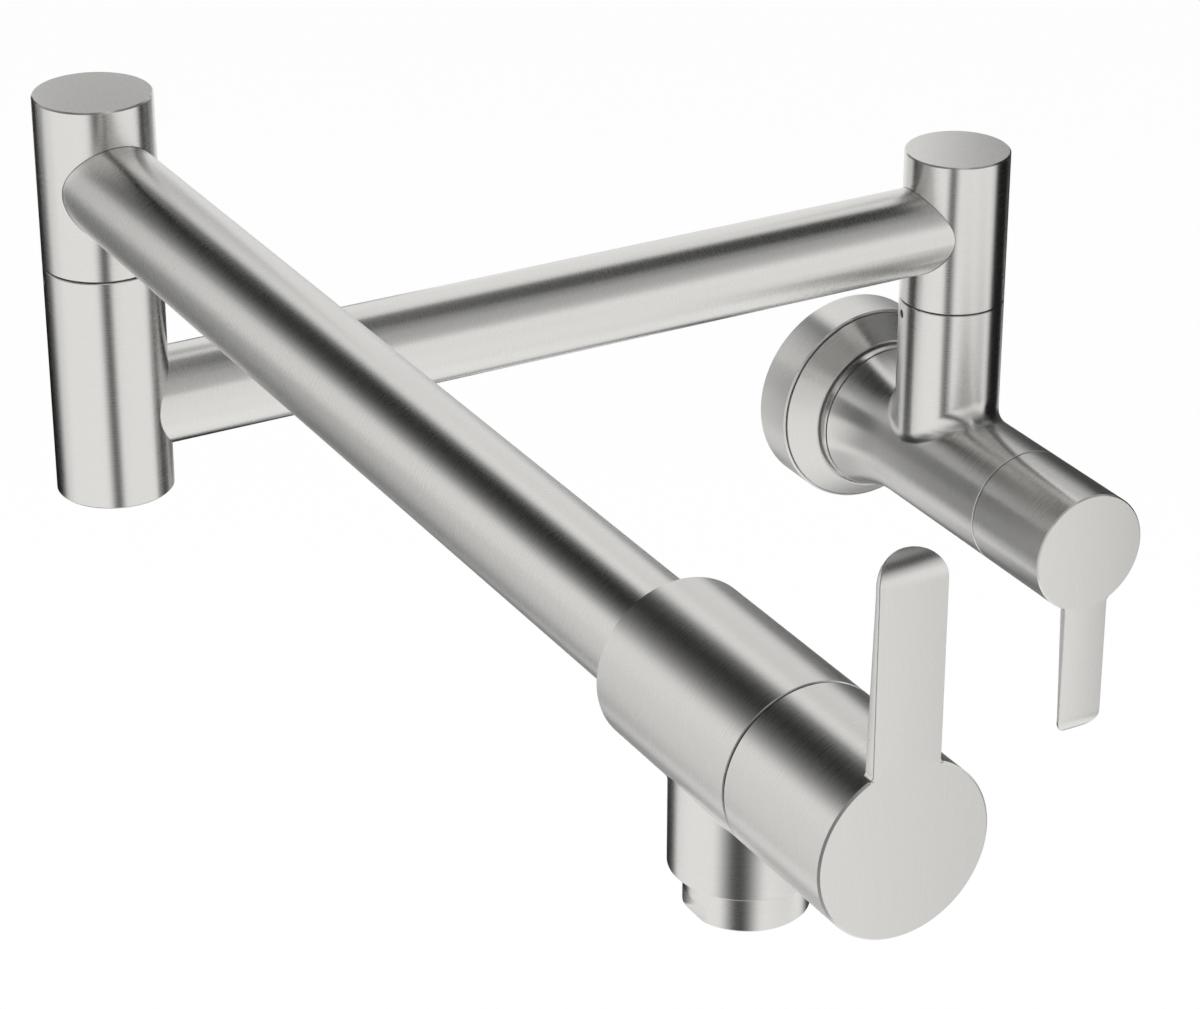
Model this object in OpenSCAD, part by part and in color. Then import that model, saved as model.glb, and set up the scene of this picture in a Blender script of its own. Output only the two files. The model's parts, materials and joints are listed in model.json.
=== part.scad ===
// Wall mounted pot filler with two swinging arms and a shut-off valve at each end.
// The origin is on the wall, at the centre of the flange. X runs right along the wall,
// Y runs into the wall and Z points up. All sizes are in millimetres.

/* [Reach] */
// Distance from the wall to the axis of the first post
post_offset = 54; // [50:1:60]
// Length of the first arm, from post axis to post axis
arm_1_len = 257; // [200:1:300]
// Length of the second arm, from post axis to spout axis
arm_2_len = 313.5; // [290:0.5:360]
// Height of the first arm's axis above the valve axis
arm_1_height = 73; // [70:1:85]

/* [Posts] */
// Diameter of both posts
post_d = 30; // [29:0.5:32]
// Wall of the post sleeves
post_wall = 3.5; // [3:0.1:3.8]
// Thickness of a post's closed end
post_end_t = 4; // [3:0.5:6]
// Height from an arm's axis to the closed end of the post beside it
arm_to_end = 22; // [20:0.5:26]
// Height from an arm's axis down to the seam of its upper post
arm_to_seam = 22.5; // [22:0.5:26]
// Height from the first arm's axis up to the seam of the second post
arm_to_next_seam = 40; // [39:0.5:46]
// Gap that shows between the turning and the fixed half of a post
seam_gap = 0.4; // [0.3:0.1:0.6]
// Chamfer on the closed ends of the posts
end_chamfer = 0.4; // [0.2:0.1:0.8]
// Chamfer on both edges of every seam
seam_chamfer = 0.2; // [0.1:0.1:0.4]

/* [Arms] */
// Outer diameter of the arm tubes
arm_d = 25; // [23:0.5:26]
// Wall of the arm tubes
arm_wall = 1.5; // [1:0.1:2]

/* [Wall flange] */
// Outer diameter of the flange
flange_d = 60; // [56:1:70]
// Depth of the flange's cylindrical rim
flange_rim_depth = 13.5; // [10:0.5:15]
// Depth of the flange from the wall to its collar
flange_depth = 21; // [19:0.5:23]
// Diameter of the collar at the top of the flange's cone
flange_collar_d = 46.4; // [46:0.2:50]
// Wall of the flange
flange_wall = 2; // [1.5:0.1:2.5]
// Chamfer on the front edge of the rim
flange_edge = 0.6; // [0.3:0.1:1]
// Width of the rubber gasket
gasket_w = 3; // [2:0.1:3.5]
// Thickness of the rubber gasket
gasket_t = 1.5; // [1:0.1:2]

/* [Valve body] */
// Diameter of the valve body, the outlet body and the turning caps
body_d = 35; // [34.5:0.5:38]
// Distance from the first post's axis to the seam of the rear cap
body_front = 40.5; // [40:0.5:44]
// Diameter of the trumpet foot where it meets the flange
foot_d = 44.6; // [42:0.2:45.2]
// Height of the foot's cylindrical rim
foot_rim = 2.4; // [1.5:0.1:3]
// Distance from the first post's axis back to where the trumpet starts
foot_start = 10.5; // [9:0.5:14]
// Diameter of the shank inside the flange
shank_d = 28; // [26:0.5:30]
// Bore of the inlet thread
inlet_d = 18.6; // [16:0.1:20]
// Depth of the inlet thread
inlet_len = 16; // [12:1:18]
// Radius of the blend between the riser and the valve body
riser_blend = 4; // [2:0.5:5]

/* [Outlet body] */
// Distance from the outlet body's back face to the spout's axis
outlet_back = 27; // [26:0.5:32]
// Distance from the spout's axis to the seam of the front cap
spout_to_seam = 20; // [20:0.5:24]
// Diameter of the spout
spout_d = 30; // [28:0.5:32]
// Height from the second arm's axis down to the spout's end
spout_drop = 29.5; // [27:0.5:31]
// Chamfer on the back edge of the outlet body
outlet_edge = 0.6; // [0.3:0.1:1]

/* [Aerator] */
// Diameter of the aerator housing
aerator_d = 24; // [23:0.5:26]
// Height of the housing that shows below the spout
aerator_show = 8.5; // [7:0.5:8.5]
// Height of the spanner flats
aerator_flat_h = 3.8; // [3:0.1:5]
// Width across the spanner flats
aerator_flat_w = 22.4; // [21.5:0.1:22.8]

/* [Handles] */
// Length of the turning cap, from the seam to the lever's face
cap_len = 32; // [31:0.5:38]
// Wall of the turning cap
cap_wall = 2.2; // [1.8:0.1:2.6]
// Thickness of the cap's face
cap_face_t = 4; // [3:0.5:5]
// Chamfer on the rim of the cap's face
cap_chamfer = 0.4; // [0.2:0.1:0.8]
// Width of the lever
lever_w = 14; // [11:0.5:18]
// Reach of the lever's tip from the cap's axis
lever_reach = 57.5; // [45:0.5:75]
// Thickness of the lever where it leaves the cap
lever_root_t = 2.6; // [2:0.1:3.4]
// Thickness of the lever at its tip
lever_tip_t = 1.3; // [1:0.1:1.8]
// Radius of the tip's backward curl, on its front face
curl_r = 7.6; // [5:0.1:12]
// Angle that the tip curls through, in degrees
curl_angle = 58; // [30:1:75]

/* [Hidden] */
$fn = 96;

// Clearances. A running fit turns, a seated fit is fixed, and a film lies between two discs.
running_fit = 0.05;
seated_fit = 0.05;
film = 0.04;
overrun = 1;

// Radii of the main forms
post_r = post_d / 2;
post_bore_r = post_r - post_wall;
arm_r = arm_d / 2;
arm_bore_r = arm_r - arm_wall;
body_r = body_d / 2;
spout_r = spout_d / 2;
flange_r = flange_d / 2;
foot_r = foot_d / 2;
shank_r = shank_d / 2;
inlet_r = inlet_d / 2;

// Heights along the posts
seam_1_z = arm_1_height - arm_to_seam;
top_1_z = arm_1_height + arm_to_end;
bottom_2_z = arm_1_height - arm_to_end;
seam_2_z = arm_1_height + arm_to_next_seam;
arm_2_height = seam_2_z + arm_to_seam;
top_2_z = arm_2_height + arm_to_end;
half_gap = seam_gap / 2;

// The arm tubes start a little away from the post's axis, inside its side hole
arm_inset = 4;
tube_start = arm_inset + seated_fit;

// Swivel: a hollow spigot, locked by a screw in its groove and sealed by two rings
spigot_r = 9.5;
spigot_bore_r = 6.3;
spigot_len = 24;
spigot_head = 8.5;
socket_spare = 2;
lock_drop = 4;
lock_groove_h = 3.2;
lock_groove_depth = 1.5;
// Share of the groove's depth that the screw reaches into it
lock_share = 0.75;
seal_drop = 10.5;
seal_step = 6;
seal_groove_h = 2.6;
seal_groove_depth = 2.1;
seal_drops = [seal_drop, seal_drop + seal_step];
slide_ring_w = 3;
slide_ring_depth = 1;
riser_water_r = 7;
grub_r = 1.25;
grub_recess = 0.8;
grub_hex_r = 0.7;
grub_hex_depth = 1.2;
// The screws stand this far round from the left, towards the wall
grub_turn = 13;

// Valve chamber and seat, common to both valves
seat_depth = 30;
water_r = 6;
seat_wall = 2.8;
seat_tube_r = water_r + seat_wall;
chamber_wall = 4.5;
chamber_r = body_r - chamber_wall;
chamber_len = 12;
chamber_spare = 1;
chamber_back = body_front - seat_depth + riser_water_r + chamber_spare;
thread_r = 10.4;
thread_len = 10;
front_bore_r = chamber_r + seated_fit;
outlet_chamber_back = 3;
// Wall between the chamber and the second arm's tube, and the depth left for the tube
outlet_web = 5;
tube_seat = outlet_back + spout_to_seam - seat_depth - outlet_chamber_back - outlet_web;
outlet_port_r = 5.4;
outlet_port_len = 2;

// Ceramic headpart, measured from the seat towards the lever
disc_r = 8.2;
seal_t = 2;
fixed_disc_t = 3.2;
moving_disc_t = 3.4;
driver_t = 3.6;
port_outer_r = 6.4;
port_inner_r = 2.2;
port_angle = 40;
lug_w = 3;
lug_depth = 1.2;
lug_h = 1.6;
lug_fit = 0.1;
bonnet_start = 0.6;
bonnet_tube_r = 9.2;
window_sill = 0.4;
window_len = 5.4;
window_w = 9;
hex_flats = 20;
hex_len = 6;
neck_r = 6.6;
neck_len = 5;
spindle_r = 5;
spline_r = 4;
spline_depth = 0.5;
spline_teeth = 20;
spindle_len = 48;
spline_len = 12.5;
clip_t = 0.8;
clip_w = 1.6;
clip_groove_depth = 0.8;
spindle_ring_r = 0.6;
spindle_seal_back = 3;
spindle_seal_step = 4;
bonnet_ring_r = 0.75;

seal_top = seal_t;
fixed_top = seal_top + fixed_disc_t;
moving_start = fixed_top + film;
moving_top = moving_start + moving_disc_t;
driver_start = moving_top + film;
driver_top = driver_start + driver_t;
bonnet_bore_r = disc_r + seated_fit;
bonnet_floor = driver_top + film;
thread_start = chamber_len + seated_fit;
hex_start = chamber_len + thread_len + seated_fit;
spindle_seals = [hex_start - spindle_seal_back, hex_start - spindle_seal_back + spindle_seal_step];
neck_start = hex_start + hex_len;
neck_end = neck_start + neck_len;
clip_start = neck_end + film;
clip_top = clip_start + clip_t;
spline_start = spindle_len - spline_len;

// Turning cap
cap_bore_r = body_r - cap_wall;
cap_start = seat_depth + half_gap;
cap_end = seat_depth + cap_len;
cap_floor = cap_end - cap_face_t;
guide_depth = 5;
guide_reach = 4;
guide_wall = 1.1;
hub_wall = 3.4;
hub_r = spline_r + hub_wall;
hub_fit = 0.1;
hub_spare = 1.5;
handle_screw_r = 2;
handle_screw_at = spline_start + spline_len / 2;
access_r = 2.3;
curl_start = lever_reach - curl_r * sin(curl_angle);
curl_run = curl_r * curl_angle * PI / 180;
tip_points = 24;

// Flange inside
flange_collar_r = flange_collar_d / 2;
recess_depth = 0.7;
foot_back = flange_depth - recess_depth;
foot_front = foot_back + foot_rim;
recess_fit = 0.45;
web_t = 2.5;
web_front = foot_back - seated_fit;
trumpet_end = post_offset - foot_start;
trumpet_rise = foot_r - body_r;
trumpet_run = trumpet_end - foot_front;
trumpet_r = (trumpet_run * trumpet_run + trumpet_rise * trumpet_rise) / (2 * trumpet_rise);

// Blend between the riser and the barrel
blend_sections = 48;
blend_steps = 5;
blend_bite = 0.1;
blend_root = 0.8;

// Inlet strainer, in a seat at the bottom of the thread
strainer_t = 1.6;
strainer_step = 0.6;
strainer_ring_w = 2;
strainer_seat_r = inlet_r - strainer_step;
mesh_t = 0.8;
mesh_hole_r = 0.55;
mesh_pitch = 1.7;
mesh_rings = 4;

// Spout and aerator
spout_water_r = 8.5;
aerator_r = aerator_d / 2;
aerator_thread_r = 11.3;
aerator_thread_len = 7.5;
aerator_wall = 1.7;
aerator_bore_r = aerator_thread_r - aerator_wall;
aerator_lip_w = 0.8;
aerator_lip_h = 1.2;
aerator_edge = 0.4;
aerator_gap = 0.15;
washer_t = 1.5;
insert_drop = 0.1;
insert_hole_r = 0.95;
insert_pitch = 2.65;
insert_rings = 3;
spout_end_z = -spout_drop;
port_low = -chamber_r - outlet_port_len;

// A round bar along Z with a chamfer on both ends
module chamfered_bar(r, from, to, low, high) {
    rotate_extrude()
        polygon([[0, from], [r - low, from], [r, from + low], [r, to - high], [r - high, to], [0, to]]);
}

// A round bore or bar along Z between two heights
module rod(r, from, to) {
    translate([0, 0, from]) cylinder(r = r, h = to - from);
}

// A plain tube along Z
module sleeve(outer, inner, from, to) {
    difference() {
        rod(outer, from, to);
        rod(inner, from - overrun, to + overrun);
    }
}

// A rubber ring of round section
module o_ring(ring_r, section_r, at) {
    translate([0, 0, at]) rotate_extrude() translate([ring_r, 0]) circle(r = section_r);
}

// Rows of small holes on a hexagonal grid, as places
function hex_grid(pitch, rings) = [
    for (i = [-rings:rings]) for (j = [-rings:rings])
        if (abs(i + j) <= rings) [pitch * (i + j / 2), pitch * j * sqrt(3) / 2]
];

// Places: the two posts, and the two valves with Z along the valve axis towards the user
module at_post_1() {
    translate([0, -post_offset, 0]) children();
}

module at_post_2() {
    translate([-arm_1_len, -post_offset, 0]) children();
}

module facing_user() {
    rotate([90, 0, 0]) children();
}

module at_rear_seat() {
    translate([0, -(post_offset + body_front - seat_depth), 0]) facing_user() children();
}

module at_front_seat() {
    translate([-arm_1_len, -(post_offset + arm_2_len + spout_to_seam - seat_depth), arm_2_height])
        facing_user() children();
}

// Turned sheet escutcheon: a deep rim, a cone and a web that the foot clamps to the wall
module wall_flange() {
    collar_in = foot_r + recess_fit;
    color("silver") facing_user() difference() {
        rotate_extrude() polygon([
            [0, 0], [flange_r, 0], [flange_r, flange_rim_depth - flange_edge],
            [flange_r - flange_edge, flange_rim_depth], [flange_collar_r, flange_depth], [0, flange_depth]
        ]);
        rotate_extrude() polygon([
            [0, -overrun], [flange_r - gasket_w - flange_wall / 2, -overrun],
            [flange_r - gasket_w - flange_wall / 2, gasket_t + flange_wall],
            [flange_r - flange_wall, gasket_t + flange_wall + flange_wall],
            [flange_r - flange_wall, flange_rim_depth - flange_wall],
            [flange_collar_r - flange_wall / 2, web_front - web_t], [0, web_front - web_t]
        ]);
        sleeve(flange_r - flange_wall / 2, flange_r - gasket_w - flange_wall, -overrun, gasket_t);
        rod(collar_in, web_front, flange_depth + overrun);
        rod(shank_r + seated_fit, 0, flange_depth);
    }
}

module flange_gasket() {
    color("dimgray") facing_user()
        sleeve(flange_r - flange_wall / 2 - seated_fit, flange_r - gasket_w - flange_wall / 2, 0, gasket_t);
}

// Outline of the casting's barrel: shank, trumpet foot and straight barrel
module barrel_outline() {
    seam_at = post_offset + body_front - half_gap;
    square([shank_r, foot_back + overrun]);
    difference() {
        translate([0, foot_back]) square([foot_r, trumpet_end - foot_back]);
        translate([body_r + trumpet_r, trumpet_end]) circle(r = trumpet_r, $fn = 360);
    }
    polygon([
        [0, foot_back], [body_r, foot_back], [body_r, seam_at - seam_chamfer],
        [body_r - seam_chamfer, seam_at], [0, seam_at]
    ]);
}

// Socket for a swivel spigot, cut into the top of a post
module spigot_socket(seam_z) {
    face = seam_z - half_gap;
    rod(spigot_r + running_fit, seam_z - spigot_len - socket_spare, seam_z + overrun);
    rod(spigot_r + slide_ring_w, face - slide_ring_depth, seam_z + overrun);
    translate([0, 0, seam_z - lock_drop]) rotate([0, 90, 180 - grub_turn])
        cylinder(r = grub_r, h = post_r + overrun);
}

// The blend between the riser and the barrel: a ball of the blend's radius rolls in the
// corner between them. Both bars are taken a little smaller, so that the ring cuts into them.
function unit(v) = v / norm(v);
function ball_at(a) = let(
    across = post_r - blend_bite + riser_blend,
    around = body_r - blend_bite + riser_blend
) [across * cos(a), across * sin(a), sqrt(around * around - pow(across * cos(a), 2))];
function blend_arc(a) = let(
    ball = ball_at(a),
    to_riser = unit([-ball[0], -ball[1], 0]),
    to_barrel = unit([-ball[0], 0, -ball[2]]),
    between = acos(to_riser * to_barrel)
) [
    for (i = [0:blend_steps]) ball + riser_blend / sin(between)
        * (sin((1 - i / blend_steps) * between) * to_riser + sin(i / blend_steps * between) * to_barrel)
];
// One section: the arc, then three points sunk into the bars
function blend_section(a) = let(
    arc = blend_arc(a),
    high = arc[0],
    low = arc[blend_steps],
    root = (post_r - blend_root) * [cos(a), sin(a), 0]
) concat(arc, [
    low - blend_root * unit([low[0], 0, low[2]]),
    root + [0, 0, low[2] - blend_root],
    root + [0, 0, high[2]]
]);

module riser_blend_ring() {
    sections = [for (s = [0:blend_sections - 1]) blend_section(360 * s / blend_sections)];
    rows = len(sections[0]);
    corner = function(s, i) (s % blend_sections) * rows + i % rows;
    polyhedron(
        [for (section = sections) each section],
        [for (s = [0:blend_sections - 1]) for (i = [0:rows - 1]) each [
            [corner(s, i), corner(s + 1, i), corner(s, i + 1)],
            [corner(s, i + 1), corner(s + 1, i), corner(s + 1, i + 1)]
        ]]
    );
}

// Casting that holds the rear valve, with the fixed half of the first post as its riser
module valve_body() {
    seat_at = post_offset + body_front - seat_depth;
    color("silver") difference() {
        union() {
            facing_user() rotate_extrude() barrel_outline();
            at_post_1() {
                chamfered_bar(post_r, 0, seam_1_z - half_gap, seam_chamfer, seam_chamfer);
                riser_blend_ring();
            }
        }
        facing_user() {
            rod(inlet_r, -overrun, inlet_len);
            rod(strainer_seat_r, 0, inlet_len + strainer_t);
            rod(water_r, 0, seat_at + overrun);
            sleeve(chamber_r, seat_tube_r, seat_at - chamber_back, seat_at);
            rod(chamber_r, seat_at, seat_at + chamber_len);
            rod(thread_r, seat_at, seat_at + chamber_len + thread_len);
            rod(front_bore_r, seat_at + chamber_len + thread_len, seat_at + seat_depth);
        }
        at_post_1() {
            rod(riser_water_r, (seat_tube_r + chamber_r) / 2, seam_1_z);
            spigot_socket(seam_1_z);
        }
    }
}

// Perforated disc in a ring, pushed to the bottom of the inlet thread
module inlet_strainer() {
    ring_r = strainer_seat_r - seated_fit;
    far = inlet_len + strainer_t;
    places = [for (p = hex_grid(mesh_pitch, mesh_rings)) if (norm(p) < water_r - mesh_hole_r) p];
    color("tan") facing_user() difference() {
        rod(ring_r, inlet_len, far);
        rod(ring_r - strainer_ring_w, inlet_len - overrun, far - mesh_t);
        for (p = places) translate(p) rod(mesh_hole_r, inlet_len, far + overrun);
    }
}

// Ceramic headpart, modelled from the seat upwards along Z
module seat_seal() {
    color("dimgray") sleeve(disc_r, water_r, film, seal_top - film);
}

// Two openings of a disc, opposite each other
module disc_ports(reach) {
    far = disc_r + overrun;
    intersection() {
        difference() {
            circle(r = reach);
            circle(r = port_inner_r);
        }
        for (side = [0, 180]) rotate(side)
            polygon([[0, 0], [far, -far * tan(port_angle)], [far, far * tan(port_angle)]]);
    }
}

// Two lugs on opposite sides of a disc, or with a fit the notches that hold them
module lugs(from_r, to_r, from, to, fit) {
    for (side = [0, 180]) rotate(side) translate([from_r - fit, -lug_w / 2 - fit, from])
        cube([to_r - from_r + fit, lug_w + 2 * fit, to - from]);
}

// Disc that stays: two round-ended ports, and lugs that the bonnet's notches hold
module fixed_disc() {
    color("ghostwhite") {
        translate([0, 0, seal_top]) linear_extrude(fixed_disc_t) difference() {
            circle(r = disc_r - film);
            disc_ports(port_outer_r);
        }
        rotate(90) lugs(disc_r - lug_depth, bonnet_tube_r - film, seal_top, seal_top + lug_h, 0);
    }
}

// Disc that turns: its ports are open to the rim, and the spindle's lugs drive it
module moving_disc() {
    color("ghostwhite") difference() {
        translate([0, 0, moving_start]) linear_extrude(moving_disc_t) difference() {
            circle(r = disc_r - film);
            rotate(90) disc_ports(disc_r + overrun);
        }
        lugs(disc_r - lug_depth, disc_r + overrun, moving_top - lug_h - lug_fit, driver_start, lug_fit);
    }
}

// Housing with a window on each side, the thread, the hexagon and the neck
module bonnet() {
    color("goldenrod") difference() {
        union() {
            rod(bonnet_tube_r, bonnet_start, thread_start + overrun);
            rod(thread_r - seated_fit, thread_start, hex_start);
            translate([0, 0, hex_start]) cylinder(d = hex_flats / cos(30), h = hex_len, $fn = 6);
            rod(neck_r, neck_start - overrun, neck_end);
        }
        rod(bonnet_bore_r, 0, bonnet_floor);
        rod(spindle_r + running_fit, 0, neck_end + overrun);
        translate([-thread_r - overrun, -window_w / 2, fixed_top + window_sill])
            cube([2 * (thread_r + overrun), window_w, window_len]);
        rotate(90) lugs(disc_r - lug_depth, thread_r, 0, seal_top + lug_h + lug_fit, lug_fit);
        sleeve(thread_r + overrun, thread_r - 2 * bonnet_ring_r,
            hex_start - 2 * bonnet_ring_r - 2 * film, hex_start - film);
    }
}

module bonnet_o_ring() {
    color("dimgray") o_ring(thread_r - bonnet_ring_r - film, bonnet_ring_r - film,
        hex_start - bonnet_ring_r - 1.5 * film);
}

// Star of fine teeth that carries the turning cap
module spline(r) {
    polygon([
        for (i = [0:2 * spline_teeth - 1])
            let(a = i * 180 / spline_teeth, at = i % 2 == 0 ? r : r - spline_depth)
                [at * cos(a), at * sin(a)]
    ]);
}

module spindle() {
    color("goldenrod") difference() {
        union() {
            rod(disc_r - film, driver_start, driver_top);
            intersection() {
                rod(disc_r - film, moving_top - lug_h, driver_top);
                lugs(disc_r - lug_depth, disc_r + overrun, moving_top - lug_h, driver_top, 0);
            }
            rod(spindle_r, driver_top - overrun, spline_start);
            translate([0, 0, spline_start - overrun]) linear_extrude(spline_len + overrun) spline(spline_r);
        }
        for (at = spindle_seals)
            sleeve(spindle_r + overrun, spindle_r - 2 * spindle_ring_r, at - spindle_ring_r - film,
                at + spindle_ring_r + film);
        sleeve(spindle_r + overrun, spindle_r - clip_groove_depth, clip_start, clip_top + film);
    }
}

module spindle_o_rings() {
    color("dimgray") for (at = spindle_seals)
        o_ring(spindle_r - spindle_ring_r + film / 2, spindle_ring_r - film / 2, at);
}

// Open clip that stops the spindle from dropping into the bonnet
module spindle_clip() {
    inner = spindle_r - clip_groove_depth + film;
    color("gray") difference() {
        sleeve(spindle_r + clip_w, inner, clip_start, clip_top);
        translate([-inner / 2, 0, clip_start - overrun])
            cube([inner, spindle_r + clip_w + overrun, clip_t + 2 * overrun]);
    }
}

// Plastic ring pressed into the body, with a head that the cap turns on
module guide_ring() {
    color("whitesmoke") difference() {
        union() {
            rod(front_bore_r - seated_fit, seat_depth - guide_depth, seat_depth);
            rod(cap_bore_r - running_fit, seat_depth - half_gap + film, seat_depth + guide_reach);
        }
        rod(front_bore_r - seated_fit - guide_wall, 0, cap_end);
    }
}

// Outline of the lever seen from the front; the round tip is laid over the curl
function tip_point(a) = [
    lever_w / 2 * cos(a),
    curl_start + curl_r * sin(max(0, curl_run - lever_w / 2 * (1 - sin(a))) / curl_r * 180 / PI)
        + min(0, curl_run - lever_w / 2 * (1 - sin(a)))
];

module lever_outline() {
    polygon(concat(
        [[-lever_w / 2, 0], [lever_w / 2, 0]],
        [for (i = [0:tip_points]) tip_point(180 * i / tip_points)]
    ));
}

// Side view of the lever: Y runs along it and the front face is at zero depth
module lever_side() {
    far = curl_r + lever_reach;
    polygon([
        [0, 0], [0, -lever_root_t], [body_r, -lever_root_t], [curl_start, -lever_tip_t], [curl_start, 0]
    ]);
    intersection() {
        translate([curl_start, -curl_r]) difference() {
            circle(r = curl_r);
            circle(r = curl_r - lever_tip_t);
        }
        translate([curl_start, -curl_r])
            polygon([[0, 0], [0, far], [far * tan(curl_angle / 2), far],
                [far * sin(curl_angle), far * cos(curl_angle)]]);
    }
}

// Cap with its hub and lever, one casting; the lever is turned round the valve axis
module handle(lever_turn) {
    color("silver") difference() {
        union() {
            difference() {
                chamfered_bar(body_r, cap_start, cap_end, seam_chamfer, cap_chamfer);
                rod(cap_bore_r, 0, cap_floor);
            }
            rod(hub_r, spline_start + film, cap_floor + film);
            rotate(lever_turn) translate([0, 0, cap_end]) intersection() {
                translate([0, 0, -lever_reach]) linear_extrude(lever_reach + overrun) lever_outline();
                rotate([90, 0, 90]) translate([0, 0, -lever_w]) linear_extrude(2 * lever_w) lever_side();
            }
        }
        linear_extrude(spindle_len + hub_spare) spline(spline_r + hub_fit);
        translate([0, 0, handle_screw_at]) rotate([90, 0, 0]) {
            cylinder(r = handle_screw_r, h = hub_r + overrun);
            translate([0, 0, hub_r + overrun]) cylinder(r = access_r, h = body_r);
        }
    }
}

// Grub screw standing along Z, with its hexagon socket at the top
module grub_screw(r, from, to) {
    color("dimgray") difference() {
        rod(r, from, to);
        translate([0, 0, to - grub_hex_depth])
            cylinder(r = grub_hex_r * r / grub_r, h = grub_hex_depth + overrun, $fn = 6);
    }
}

module handle_screw() {
    translate([0, 0, handle_screw_at]) rotate([90, 0, 0])
        grub_screw(handle_screw_r - film, spline_r + film, hub_r);
}

// Upper half of a post: a sleeve closed at the top, with a side hole for its arm
module post_upper(seam_z, arm_z, top_z, arm_turn) {
    face = seam_z + half_gap;
    color("silver") difference() {
        chamfered_bar(post_r, face, top_z, seam_chamfer, end_chamfer);
        rod(post_bore_r, seam_z - overrun, top_z - post_end_t);
        translate([0, 0, arm_z]) rotate([0, 90, arm_turn]) rod(arm_r + seated_fit, arm_inset, post_d);
    }
}

// Hollow pivot of a swivel: its head sits in the upper sleeve, its stem in the lower one
module spigot(seam_z) {
    stem_low = seam_z - spigot_len;
    color("goldenrod") difference() {
        union() {
            rod(spigot_r, stem_low, seam_z + spigot_head);
            rod(post_bore_r - seated_fit, seam_z + half_gap, seam_z + spigot_head);
        }
        rod(spigot_bore_r, stem_low - overrun, seam_z + spigot_head + overrun);
        sleeve(spigot_r + overrun, spigot_r - lock_groove_depth,
            seam_z - lock_drop - lock_groove_h / 2, seam_z - lock_drop + lock_groove_h / 2);
        for (drop = seal_drops)
            sleeve(spigot_r + overrun, spigot_r - seal_groove_depth,
                seam_z - drop - seal_groove_h / 2, seam_z - drop + seal_groove_h / 2);
    }
}

module spigot_o_rings(seam_z) {
    section_r = seal_groove_depth / 2 - film / 2;
    color("dimgray") for (drop = seal_drops)
        o_ring(spigot_r - section_r, section_r, seam_z - drop);
}

module slide_ring(seam_z) {
    face = seam_z - half_gap;
    color("whitesmoke") sleeve(spigot_r + slide_ring_w - seated_fit, spigot_r + running_fit + film,
        face - slide_ring_depth, seam_z + half_gap - film);
}

module post_grub_screw(seam_z) {
    translate([0, 0, seam_z - lock_drop]) rotate([0, 90, 180 - grub_turn])
        grub_screw(grub_r - film, spigot_r - lock_share * lock_groove_depth, post_r - grub_recess);
}

// Lower half of the second post: closed below, with the first arm brazed into its side
module post_2_lower() {
    color("silver") difference() {
        chamfered_bar(post_r, bottom_2_z, seam_2_z - half_gap, end_chamfer, seam_chamfer);
        rod(post_bore_r, bottom_2_z + post_end_t, arm_1_height + arm_r + seated_fit);
        rod(spigot_bore_r, arm_1_height, seam_2_z);
        translate([0, 0, arm_1_height]) rotate([0, 90, 0]) rod(arm_r + seated_fit, arm_inset, post_d);
        spigot_socket(seam_2_z);
    }
}

// Tubes of the arms, trimmed to the bores of the posts that they are brazed into
module arm_1_tube() {
    color("silver") difference() {
        translate([0, 0, arm_1_height]) rotate([0, -90, 0])
            sleeve(arm_r, arm_bore_r, tube_start, arm_1_len - tube_start);
        rod(post_bore_r, 0, top_1_z);
        translate([-arm_1_len, 0, 0]) rod(post_bore_r, 0, top_1_z);
    }
}

module arm_2_tube() {
    color("silver") difference() {
        translate([0, 0, arm_2_height]) facing_user()
            sleeve(arm_r, arm_bore_r, tube_start, arm_2_len - outlet_back + tube_seat);
        rod(post_bore_r, seam_2_z, top_2_z);
    }
}

// Barrel of the outlet valve with its spout, one casting
module outlet_body() {
    back = arm_2_len - outlet_back;
    seam_at = arm_2_len + spout_to_seam;
    seat_at = seam_at - seat_depth;
    color("silver") translate([0, 0, arm_2_height]) difference() {
        union() {
            facing_user()
                chamfered_bar(body_r, back, seam_at - half_gap, outlet_edge, seam_chamfer);
            translate([0, -arm_2_len, 0]) chamfered_bar(spout_r, spout_end_z, 0, end_chamfer, end_chamfer);
        }
        facing_user() {
            rod(arm_r + seated_fit, back - overrun, back + tube_seat + seated_fit);
            rod(water_r, back, seat_at + overrun);
            sleeve(chamber_r, seat_tube_r, seat_at - outlet_chamber_back, seat_at);
            rod(chamber_r, seat_at, seat_at + chamber_len);
            rod(thread_r, seat_at, seat_at + chamber_len + thread_len);
            rod(front_bore_r, seat_at + chamber_len + thread_len, seat_at + seat_depth);
        }
        translate([0, -seat_at - chamber_len / 2, 0]) rod(outlet_port_r, port_low - overrun, -seat_tube_r);
        translate([0, -arm_2_len, 0]) {
            rod(spout_water_r, spout_end_z - overrun, port_low);
            rod(aerator_thread_r + seated_fit, spout_end_z - overrun,
                spout_end_z + aerator_thread_len + washer_t);
        }
    }
}

// Places the aerator parts: Z is zero at the spout's end
module at_spout_end() {
    translate([0, -arm_2_len, arm_2_height - spout_drop]) children();
}

module aerator_housing() {
    color("silver") difference() {
        union() {
            chamfered_bar(aerator_r, -aerator_show, -aerator_gap, aerator_edge, aerator_gap);
            rod(aerator_thread_r, -aerator_gap - overrun, aerator_thread_len - film);
        }
        rod(aerator_bore_r, aerator_lip_h - aerator_show, aerator_thread_len + overrun);
        rod(aerator_bore_r - aerator_lip_w, -aerator_show - overrun, 0);
        for (side = [-1, 1])
            translate([side * (aerator_flat_w + aerator_d) / 2, 0, -aerator_show])
                cube([aerator_d, aerator_d, 2 * aerator_flat_h], center = true);
    }
}

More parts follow.
